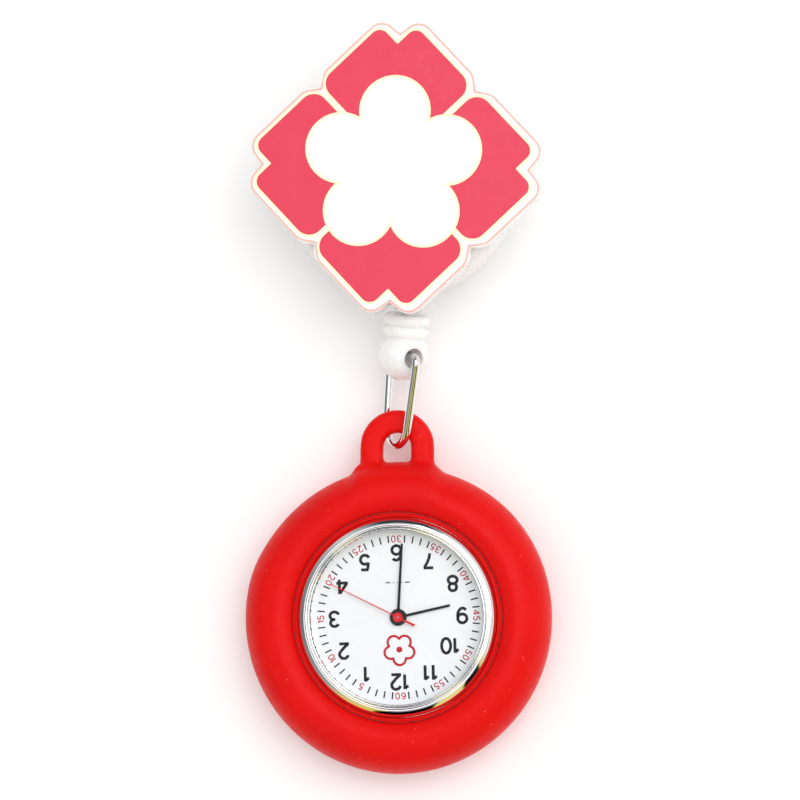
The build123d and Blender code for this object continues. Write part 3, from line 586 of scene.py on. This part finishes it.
def print_layer(name, outline, level, finish, turn=0, shift=(0, 0)):
    """A pass of ink on the plate, level passes up."""
    place = PLATE_PLACE @ Matrix.Translation((shift[0] * MM, shift[1] * MM, 0))
    place = place @ Matrix.Rotation(math.radians(turn), 4, "Z")
    place = Matrix.Translation((0, 0, PLATE_TOP + (level + 0.5) * LAYER)) @ place
    mesh = curve_mesh([scaled(outline)], place, True, depth=LAYER)
    return piece_from(name, mesh, "reel", finish)


PRINT_SHIFT = (-0.3, 0.15)            # the inks sit a little to one side of the plate's middle
# painted reflection: a thin salmon band along the outline, in place of the crimson print seen through the
# acrylic edge
print_layer("plate_edge_painted_reflection", plate_outline(0.1), 0, SALMON_EDGE_REFLECTION)
print_layer("print_white_ground", plate_outline(0.36), 1, WHITE_INK)
for quarter, side in enumerate(("upper", "right", "lower", "left")):
    print_layer(f"print_cream_{side}", petal_outline(0.36), 2, CREAM_INK, -90 * quarter, PRINT_SHIFT)
    print_layer(f"print_petal_{side}", petal_outline(0.0), 3, CRIMSON_INK, -90 * quarter, PRINT_SHIFT)
FLOWER_PETAL_R, FLOWER_PETAL_AT, FLOWER_RIM = 5.0, 7.7, 0.34
flower_rim = flower_outline(FLOWER_PETAL_R, FLOWER_PETAL_AT)
flower = flower_outline(FLOWER_PETAL_R - FLOWER_RIM, FLOWER_PETAL_AT)
print_layer("print_flower_rim", flower_rim, 4, CREAM_INK, 0, PRINT_SHIFT)
print_layer("print_flower", flower, 5, WHITE_INK, 0, PRINT_SHIFT)

# ---------------------------------------------------------------- dial print
DIAL_TURN = math.radians(181.6)       # upside down to someone facing the wearer, and a little askew
INK_HIGH = 0.02 * MM


def dial_place(x, y, turn=0.0, height=INK_HIGH):
    """Place on the dial in the watch's own frame: y up towards the twelve."""
    level = Matrix.Translation((WATCH.x, WATCH.y, DIAL_TOP + height / 2)) @ Matrix.Rotation(DIAL_TURN, 4, "Z")
    return level @ Matrix.Translation((x * MM, y * MM, 0)) @ Matrix.Rotation(turn, 4, "Z")


WIDE = 0.62                           # a digit's width between stroke centres, for a height of 1


def digit_strokes(digit):
    """Centre lines of a plain digit one unit high, from x = 0 to about WIDE."""
    half = WIDE / 2
    ring = arc((half, 0.5), (half, 0.5), 0, 360, 36)
    bowl_r = 0.3
    low_bowl = arc((half, bowl_r), (half, bowl_r), 0, 360, 32)
    if digit == "0":
        return [ring]
    if digit == "1":
        return [[(0.34, 0), (0.34, 1)], [(0.32, 0.98), (0.26, 0.89), (0.17, 0.82), (0.08, 0.79)]]
    if digit == "2":
        hook = arc((half, 0.72), (half - 0.01, 0.28), 170, -34, 20)
        return [hook + [(0.3, 0.27), (0.03, 0.03)], [(-0.06, 0), (WIDE, 0)]]
    if digit == "3":
        top = arc((half, 0.76), (half - 0.03, 0.24), 160, -90, 20)
        return [top[:-1] + [(half - 0.06, 0.52)], arc((half, 0.27), (half, 0.265), 88, -165, 20)]
    if digit == "4":
        return [[(0.5, 0), (0.5, 1)], [(0.48, 0.97), (-0.04, 0.25)], [(-0.08, 0.25), (WIDE + 0.1, 0.25)]]
    if digit == "5":
        bowl = arc((half - 0.01, 0.31), (half, 0.31), 135, -155, 22)
        return [[(WIDE - 0.04, 1), (0.06, 1)], [(0.12, 0.98), (0.06, 0.5)], bowl]
    if digit == "6":
        return [low_bowl, arc((half + 0.03, 0.5), (half + 0.03, 0.5), 48, 190, 20) + [(0.0, 0.3)]]
    if digit == "7":
        return [[(0, 1), (WIDE + 0.05, 1)], [(WIDE, 0.97), (0.4, 0.62), (0.27, 0.3), (0.22, 0)]]
    if digit == "8":
        upper = arc((half, 0.75), (half - 0.05, 0.25), 0, 360, 28)
        return [upper, arc((half, 0.26), (half, 0.26), 0, 360, 28)]
    turned = []
    for stroke in digit_strokes("6"):
        turned.append([(WIDE - x, 1 - y) for x, y in stroke])
    return turned


def number_mesh(text, height, stroke, place, spread=1.0):
    """Raised ink strokes of a number, centred on its place."""
    inner = height - stroke            # between the stroke centres
    advance = (WIDE * inner + stroke) * 1.22
    offsets = []
    x = 0.0
    for digit in text:
        narrow = 0.55 if digit == "1" else 1.0
        offsets.append(x - (0.08 if digit == "1" else 0.0) * inner)
        x += advance * narrow * spread
    width = x - advance * 0.22
    meshes = []
    for digit, offset in zip(text, offsets):
        for line in digit_strokes(digit):
            is_ring = line[0] == line[-1] or math.dist(line[0], line[-1]) < 1e-6
            left = offset + stroke / 2 - width / 2
            points = [(left + px * inner, py * inner - inner / 2) for px, py in line]
            if is_ring:
                points = points[:-1]
            mesh = curve_mesh([scaled(points)], place, False, bevel=stroke / 2 * MM,
                              squash=INK_HIGH / (stroke * MM), closed=is_ring, sides=1)
            meshes.append(mesh)
    return meshes


def around(minute):
    """Direction of a minute on the dial, in radians, in the watch's own frame."""
    return math.radians(90 - 6 * minute)


HOUR_HEIGHT, HOUR_STROKE, HOUR_AT = 2.45, 0.42, 8.95
meshes = []
for hour in range(1, 13):
    at = 8.25 if hour == 10 else HOUR_AT
    place = dial_place(at * math.cos(around(hour * 5)), at * math.sin(around(hour * 5)))
    meshes += number_mesh(str(hour), HOUR_HEIGHT, HOUR_STROKE, place)
piece_from("dial_hour_numbers", joined(meshes), "watch", BLACK_INK, True)

LABEL_HEIGHT, LABEL_STROKE, LABEL_AT = 1.0, 0.15, 10.9
meshes = []
for minute in range(5, 61, 5):
    direction = around(minute)
    inward = 20 <= minute <= 40
    place = dial_place(LABEL_AT * math.cos(direction), LABEL_AT * math.sin(direction),
                       direction + (math.pi / 2 if inward else -math.pi / 2))
    meshes += number_mesh(str(minute), LABEL_HEIGHT, LABEL_STROKE, place)
piece_from("dial_minute_numbers", joined(meshes), "watch", RED_INK, True)

TICK_AT, TICK_LONG, TICK_WIDE = 10.9, 1.0, 0.2
tick = rounded([(-TICK_WIDE / 2, -TICK_LONG / 2, 0.03), (TICK_WIDE / 2, -TICK_LONG / 2, 0.03),
                (TICK_WIDE / 2, TICK_LONG / 2, 0.03), (-TICK_WIDE / 2, TICK_LONG / 2, 0.03)], 2)
meshes = []
for minute in range(60):
    if minute % 5:
        direction = around(minute)
        place = dial_place(TICK_AT * math.cos(direction), TICK_AT * math.sin(direction),
                           direction - math.pi / 2)
        meshes.append(curve_mesh([scaled(tick)], place, True, depth=INK_HIGH))
piece_from("dial_minute_ticks", joined(meshes), "watch", BLACK_INK)

MARK_AT = 4.47
MARK_STROKE = 0.34
MARK_DOT_R = 0.42
mark = [curve_mesh([scaled(flower_outline(0.86, 1.28))], dial_place(0, MARK_AT), False,
                   bevel=MARK_STROKE / 2 * MM, squash=INK_HIGH / (MARK_STROKE * MM), sides=1)]
dot = arc((0, 0), (MARK_DOT_R, MARK_DOT_R), 0, 345, 23)
mark.append(curve_mesh([scaled(dot)], dial_place(0, MARK_AT), True, depth=INK_HIGH))
piece_from("dial_flower", joined(mark), "watch", RED_INK, True)

ORNAMENT_AT = -4.84
meshes = []
for x, long in ((-1.35, 0.7), (-0.55, 0.16), (0, 0.16), (0.55, 0.16), (1.35, 0.7)):
    bar = rounded([(x - long / 2, -0.08, 0.05), (x + long / 2, -0.08, 0.05), (x + long / 2, 0.08, 0.05),
                   (x - long / 2, 0.08, 0.05)], 2)
    meshes.append(curve_mesh([scaled(bar)], dial_place(0, ORNAMENT_AT), True, depth=INK_HIGH))
piece_from("dial_ornament", joined(meshes), "watch", BLACK_INK)


# ---------------------------------------------------------------- soft case
ASKEW = 0.4 * MM                      # the soft case sits a little to one side of the watch
NARROWER = 0.012                      # and is this share narrower than the CAD's
LIP_DROP = 0.6 * MM                   # its lip sags below the bezel
LIP_ABOVE = 10.2 * MM                 # what counts as lip
LUG_X = -0.5 * MM                     # the lug stands a little to one side
SHOULDER_DROP = 0.7 * MM              # and the case falls away beside its collar


def eased(value, low, high):
    """0 below low, 1 above high, smooth between."""
    share = min(max((value - low) / (high - low), 0), 1)
    return share * share * (3 - 2 * share)


def soft_case():
    """The case as one flowing skin: the CAD solid remeshed and relaxed, then settled on the watch."""
    mesh = NODES["silicone_case"].data.copy()
    piece = piece_from("soft_case", mesh, "watch", SILICONE)
    weld = piece.modifiers.new("weld", "WELD")
    weld.merge_threshold = 0.001 * MM
    remesh = piece.modifiers.new("remesh", "REMESH")
    remesh.mode = "VOXEL"
    remesh.voxel_size = 0.3 * MM
    remesh.use_smooth_shade = True
    relax = piece.modifiers.new("relax", "SMOOTH")
    relax.factor = 0.5
    relax.iterations = 5
    graph = bpy.context.evaluated_depsgraph_get()
    made = bpy.data.meshes.new_from_object(piece.evaluated_get(graph), depsgraph=graph)
    piece.modifiers.clear()
    piece.data = made
    for vertex in made.vertices:
        x, y = vertex.co.x - WATCH.x, vertex.co.y - WATCH.y
        radius = math.hypot(x, y)
        outer = eased(radius, 15.2 * MM, 19 * MM)
        below_lug = 1 - eased(y, 4 * MM, 19 * MM)
        beside_lug = eased(abs(x - LUG_X), 5.0 * MM, 7.0 * MM)
        vertex.co.x -= (ASKEW + NARROWER * x) * outer * below_lug
        vertex.co.y -= SHOULDER_DROP * outer * eased(y, 3 * MM, 14 * MM) * beside_lug
        if vertex.co.z > LIP_ABOVE:
            vertex.co.z -= LIP_DROP * (1 - eased(radius, 14.8 * MM, 19.5 * MM))
    made.shade_smooth()
    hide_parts("silicone_case")
    return piece


soft_case()


def ring_mesh(name, radius, thick, level, steps=180, sides=10):
    """A round cord in a circle about the watch's axis, in the row frame."""
    verts, faces = [], []
    for step in range(steps):
        angle = math.tau * step / steps
        out = Vector((math.cos(angle), math.sin(angle), 0))
        for side in range(sides):
            turn = math.tau * side / sides
            offset = out * math.cos(turn) + Vector((0, 0, math.sin(turn)))
            verts.append(Vector((WATCH.x, WATCH.y, level)) + out * radius + offset * thick / 2)
            following = (step + 1) % steps * sides
            near = step * sides + side
            beside = step * sides + (side + 1) % sides
            faces.append((near, following + side, following + (side + 1) % sides, beside))
    mesh = bpy.data.meshes.new(name)
    mesh.from_pydata(verts, [], faces)
    return mesh


# painted shade: a thin dark red ring laid in the corner where the lip meets the ledge, standing in for the
# shade in that crease
SHADE_RING_R, SHADE_RING_WIDE, SHADE_RING_AT = 14.58 * MM, 0.26 * MM, 9.84 * MM
ROLL_R, ROLL_WIDE, ROLL_AT = 14.14 * MM, 0.54 * MM, 9.66 * MM
lip_shade = plastic("silicone_painted_lip_shade", (0.16, 0.002, 0.002), 0.5, subsurface=0.0)
piece_from("soft_case_painted_lip_shade", ring_mesh("lip_shade", SHADE_RING_R, SHADE_RING_WIDE, SHADE_RING_AT), "watch",
           lip_shade, True)
piece_from("soft_case_roll", ring_mesh("roll", ROLL_R, ROLL_WIDE, ROLL_AT), "watch",
           SILICONE, True)
RIDGES = {"outer": (12.62, 0.42), "inner": (12.24, 0.3)}    # radius and thickness, mm
for place, (radius, thick) in RIDGES.items():
    ridge = ring_mesh("ridge", radius * MM, thick * MM, BEZEL_TOP - 0.3 * thick * MM)
    piece_from(f"bezel_ridge_{place}", ridge, "watch", CHROME, True)


# ---------------------------------------------------------------- cord between the eyelet and the ball
def cord():
    """The cord's short free stretch, drawn as a tube of many rings."""
    along = (MOUTH - BALL).normalized()
    start = BALL + along * 1.9 * MM
    bend = MOUTH + Vector((0, 0.9 * MM, 0))
    end = MOUTH + Vector((0, 3.9 * MM, 0))
    tangent = 1.35 * MM
    bend_start = bend + (start - bend).normalized() * tangent
    bend_end = bend + (end - bend).normalized() * tangent
    line = [start.lerp(bend_start, i / 40) for i in range(40)]
    for i in range(61):
        t = i / 60
        line.append(bend_start.lerp(bend, t).lerp(bend.lerp(bend_end, t), t))
    line += [bend_end.lerp(end, i / 12) for i in range(1, 13)]
    sides = 16
    verts, faces = [], []
    for index, point in enumerate(line):
        ahead = (line[min(index + 1, len(line) - 1)] - line[max(index - 1, 0)]).normalized()
        across = ahead.cross(Vector((1, 0, 0))).normalized()
        other = across.cross(ahead)
        for side in range(sides):
            angle = math.tau * side / sides
            radius = CORD_R * (0.97 + 0.03 * math.cos(8 * angle / 2 + index * 0.9))
            verts.append(point + (across * math.cos(angle) + other * math.sin(angle)) * radius)
    for ring in range(len(line) - 1):
        for side in range(sides):
            a = ring * sides + side
            b = ring * sides + (side + 1) % sides
            faces.append((a, b, b + sides, a + sides))
    faces.append(tuple(reversed(range(sides))))
    faces.append(tuple(range((len(line) - 1) * sides, len(line) * sides)))
    mesh = bpy.data.meshes.new("cord")
    mesh.from_pydata(verts, [], faces)
    piece = piece_from("cord_outside", mesh, None, braid(), True)
    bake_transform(piece)
    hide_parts("cord_outer_run")


cord()


# ---------------------------------------------------------------- floor, light and camera
def floor():
    """Plain white paper that keeps a trace of its own light, so that shadows on it stay soft."""
    mesh = bpy.data.meshes.new("floor")
    half = 1.5
    corners = [(-half, -half, 0), (half, -half, 0), (half, half, 0), (-half, half, 0)]
    mesh.from_pydata(corners, [], [(0, 1, 2, 3)])
    piece = bpy.data.objects.new("floor", mesh)
    bpy.context.scene.collection.objects.link(piece)
    f = Finish("paper_white", (0.93, 0.93, 0.93), 0.9, Specular_IOR_Level=0.1, Emission_Strength=0.07)
    f.shader.inputs["Emission Color"].default_value = (1, 1, 1, 1)
    f.relief(f.noise(0.8, 3), 0.01)
    mesh.materials.append(f.material)


def lamp(name, place, aim, size, power, colour=(1, 1, 1)):
    data = bpy.data.lights.new(name, "AREA")
    data.shape = "RECTANGLE"
    data.size, data.size_y = size
    data.energy = power
    data.color = colour
    lamp_object = bpy.data.objects.new(name, data)
    lamp_object.location = place
    lamp_object.rotation_euler = (Vector(aim) - Vector(place)).to_track_quat("-Z", "Y").to_euler()
    bpy.context.scene.collection.objects.link(lamp_object)


def surroundings():
    """White studio with dark and coloured things round about. Mirrors see them almost up to overhead."""
    world = bpy.data.worlds.new("studio")
    bpy.context.scene.world = world
    world.use_nodes = True
    tree = world.node_tree
    tree.nodes.clear()

    def add(kind, **settings):
        node = tree.nodes.new(kind)
        for key, value in settings.items():
            setattr(node, key, value)
        return node

    direction = add("ShaderNodeTexCoord").outputs["Generated"]
    round_about = add("ShaderNodeTexGradient", gradient_type="RADIAL")
    tree.links.new(direction, round_about.inputs["Vector"])
    low_down = add("ShaderNodeValToRGB")
    teal, black = (0.16, 0.22, 0.22), (0.0, 0.0, 0.0)
    stops = [  # share of the turn from -X through -Y, and what stands there
        (0.0, teal), (0.1, (0.4, 0.42, 0.4)), (0.139, (0.85, 0.7, 0.25)), (0.188, (0.9, 0.7, 0.12)),
        (0.193, black), (0.293, black), (0.298, (1.0, 0.85, 0.25)), (0.356, (1.0, 0.9, 0.4)),
        (0.361, black), (0.403, (0.02, 0.02, 0.02)), (0.408, (0.9, 0.75, 0.2)),
        (0.435, (0.95, 0.93, 0.8)), (0.5, (0.95, 0.95, 0.95)), (0.66, (0.8, 0.82, 0.85)),
        (0.72, (0.06, 0.07, 0.08)), (0.8, (0.05, 0.06, 0.07)), (0.86, (0.7, 0.74, 0.75)),
        (0.93, (0.3, 0.36, 0.36)), (1.0, teal),
    ]
    ramp = low_down.color_ramp
    while len(ramp.elements) < len(stops):
        ramp.elements.new(0.5)
    for element, (place, colour) in zip(ramp.elements, stops):
        element.position = place
        element.color = (*colour, 1)
    tree.links.new(round_about.outputs["Fac"], low_down.inputs["Fac"])
    height = add("ShaderNodeSeparateXYZ")
    tree.links.new(direction, height.inputs[0])
    band = add("ShaderNodeMapRange", interpolation_type="SMOOTHSTEP")
    tree.links.new(height.outputs["Z"], band.inputs["Value"])
    path = add("ShaderNodeLightPath")
    # upward part of a direction where the surroundings begin and end to give way to white
    for end, lit, mirrored in (("From Min", 0.25, 0.86), ("From Max", 0.5, 0.97)):
        choice = add("ShaderNodeMix", data_type="FLOAT")
        tree.links.new(path.outputs["Is Glossy Ray"], choice.inputs[0])
        choice.inputs[2].default_value = lit
        choice.inputs[3].default_value = mirrored
        tree.links.new(choice.outputs[0], band.inputs[end])
    mix = add("ShaderNodeMix", data_type="RGBA")
    tree.links.new(band.outputs["Result"], mix.inputs[0])
    tree.links.new(low_down.outputs["Color"], mix.inputs[6])
    overhead = add("ShaderNodeMix", data_type="RGBA")
    tree.links.new(path.outputs["Is Glossy Ray"], overhead.inputs[0])
    overhead.inputs[6].default_value = (1, 1, 1, 1)
    overhead.inputs[7].default_value = (1.35, 1.35, 1.35, 1)
    tree.links.new(overhead.outputs[2], mix.inputs[7])
    seen = add("ShaderNodeMix", data_type="RGBA")
    tree.links.new(path.outputs["Is Camera Ray"], seen.inputs[0])
    tree.links.new(mix.outputs[2], seen.inputs[6])
    seen.inputs[7].default_value = (1.4, 1.4, 1.4, 1)
    background = add("ShaderNodeBackground")
    background.inputs["Strength"].default_value = 0.88
    tree.links.new(seen.outputs[2], background.inputs["Color"])
    output = add("ShaderNodeOutputWorld")
    tree.links.new(background.outputs[0], output.inputs["Surface"])


CAMERA_AIM = Vector((0.28, -0.02, 9.0)) * MM
CAMERA_TILT = (7, 4)                  # degrees from straight above, to the right and towards the watch
CAMERA_FAR = 0.49
CAMERA_LENS = 158.2


def camera():
    """Camera a little to the right of straight above, on a long lens."""
    right_tilt, low_tilt = (math.radians(degrees) for degrees in CAMERA_TILT)
    back = Vector((math.sin(right_tilt), -math.sin(low_tilt), 0))
    back.z = math.sqrt(1 - back.length_squared)
    data = bpy.data.cameras.new("camera")
    data.sensor_width = 36
    data.lens = CAMERA_LENS
    data.clip_start, data.clip_end = 0.01, 20
    view = bpy.data.objects.new("camera", data)
    right = Vector((0, 1, 0)).cross(back).normalized()
    turn = Matrix((right, back.cross(right), back)).transposed()
    view.matrix_world = Matrix.Translation(CAMERA_AIM + back * CAMERA_FAR) @ turn.to_4x4()
    bpy.context.scene.collection.objects.link(view)
    bpy.context.scene.camera = view


floor()
surroundings()
lamp("key", (0.2, 0.14, 0.62), (0, 0, 0), (0.5, 0.5), 1.7, (1.0, 0.99, 0.975))
camera()
bpy.context.scene.view_settings.view_transform = "Standard"
bpy.context.view_layer.update()
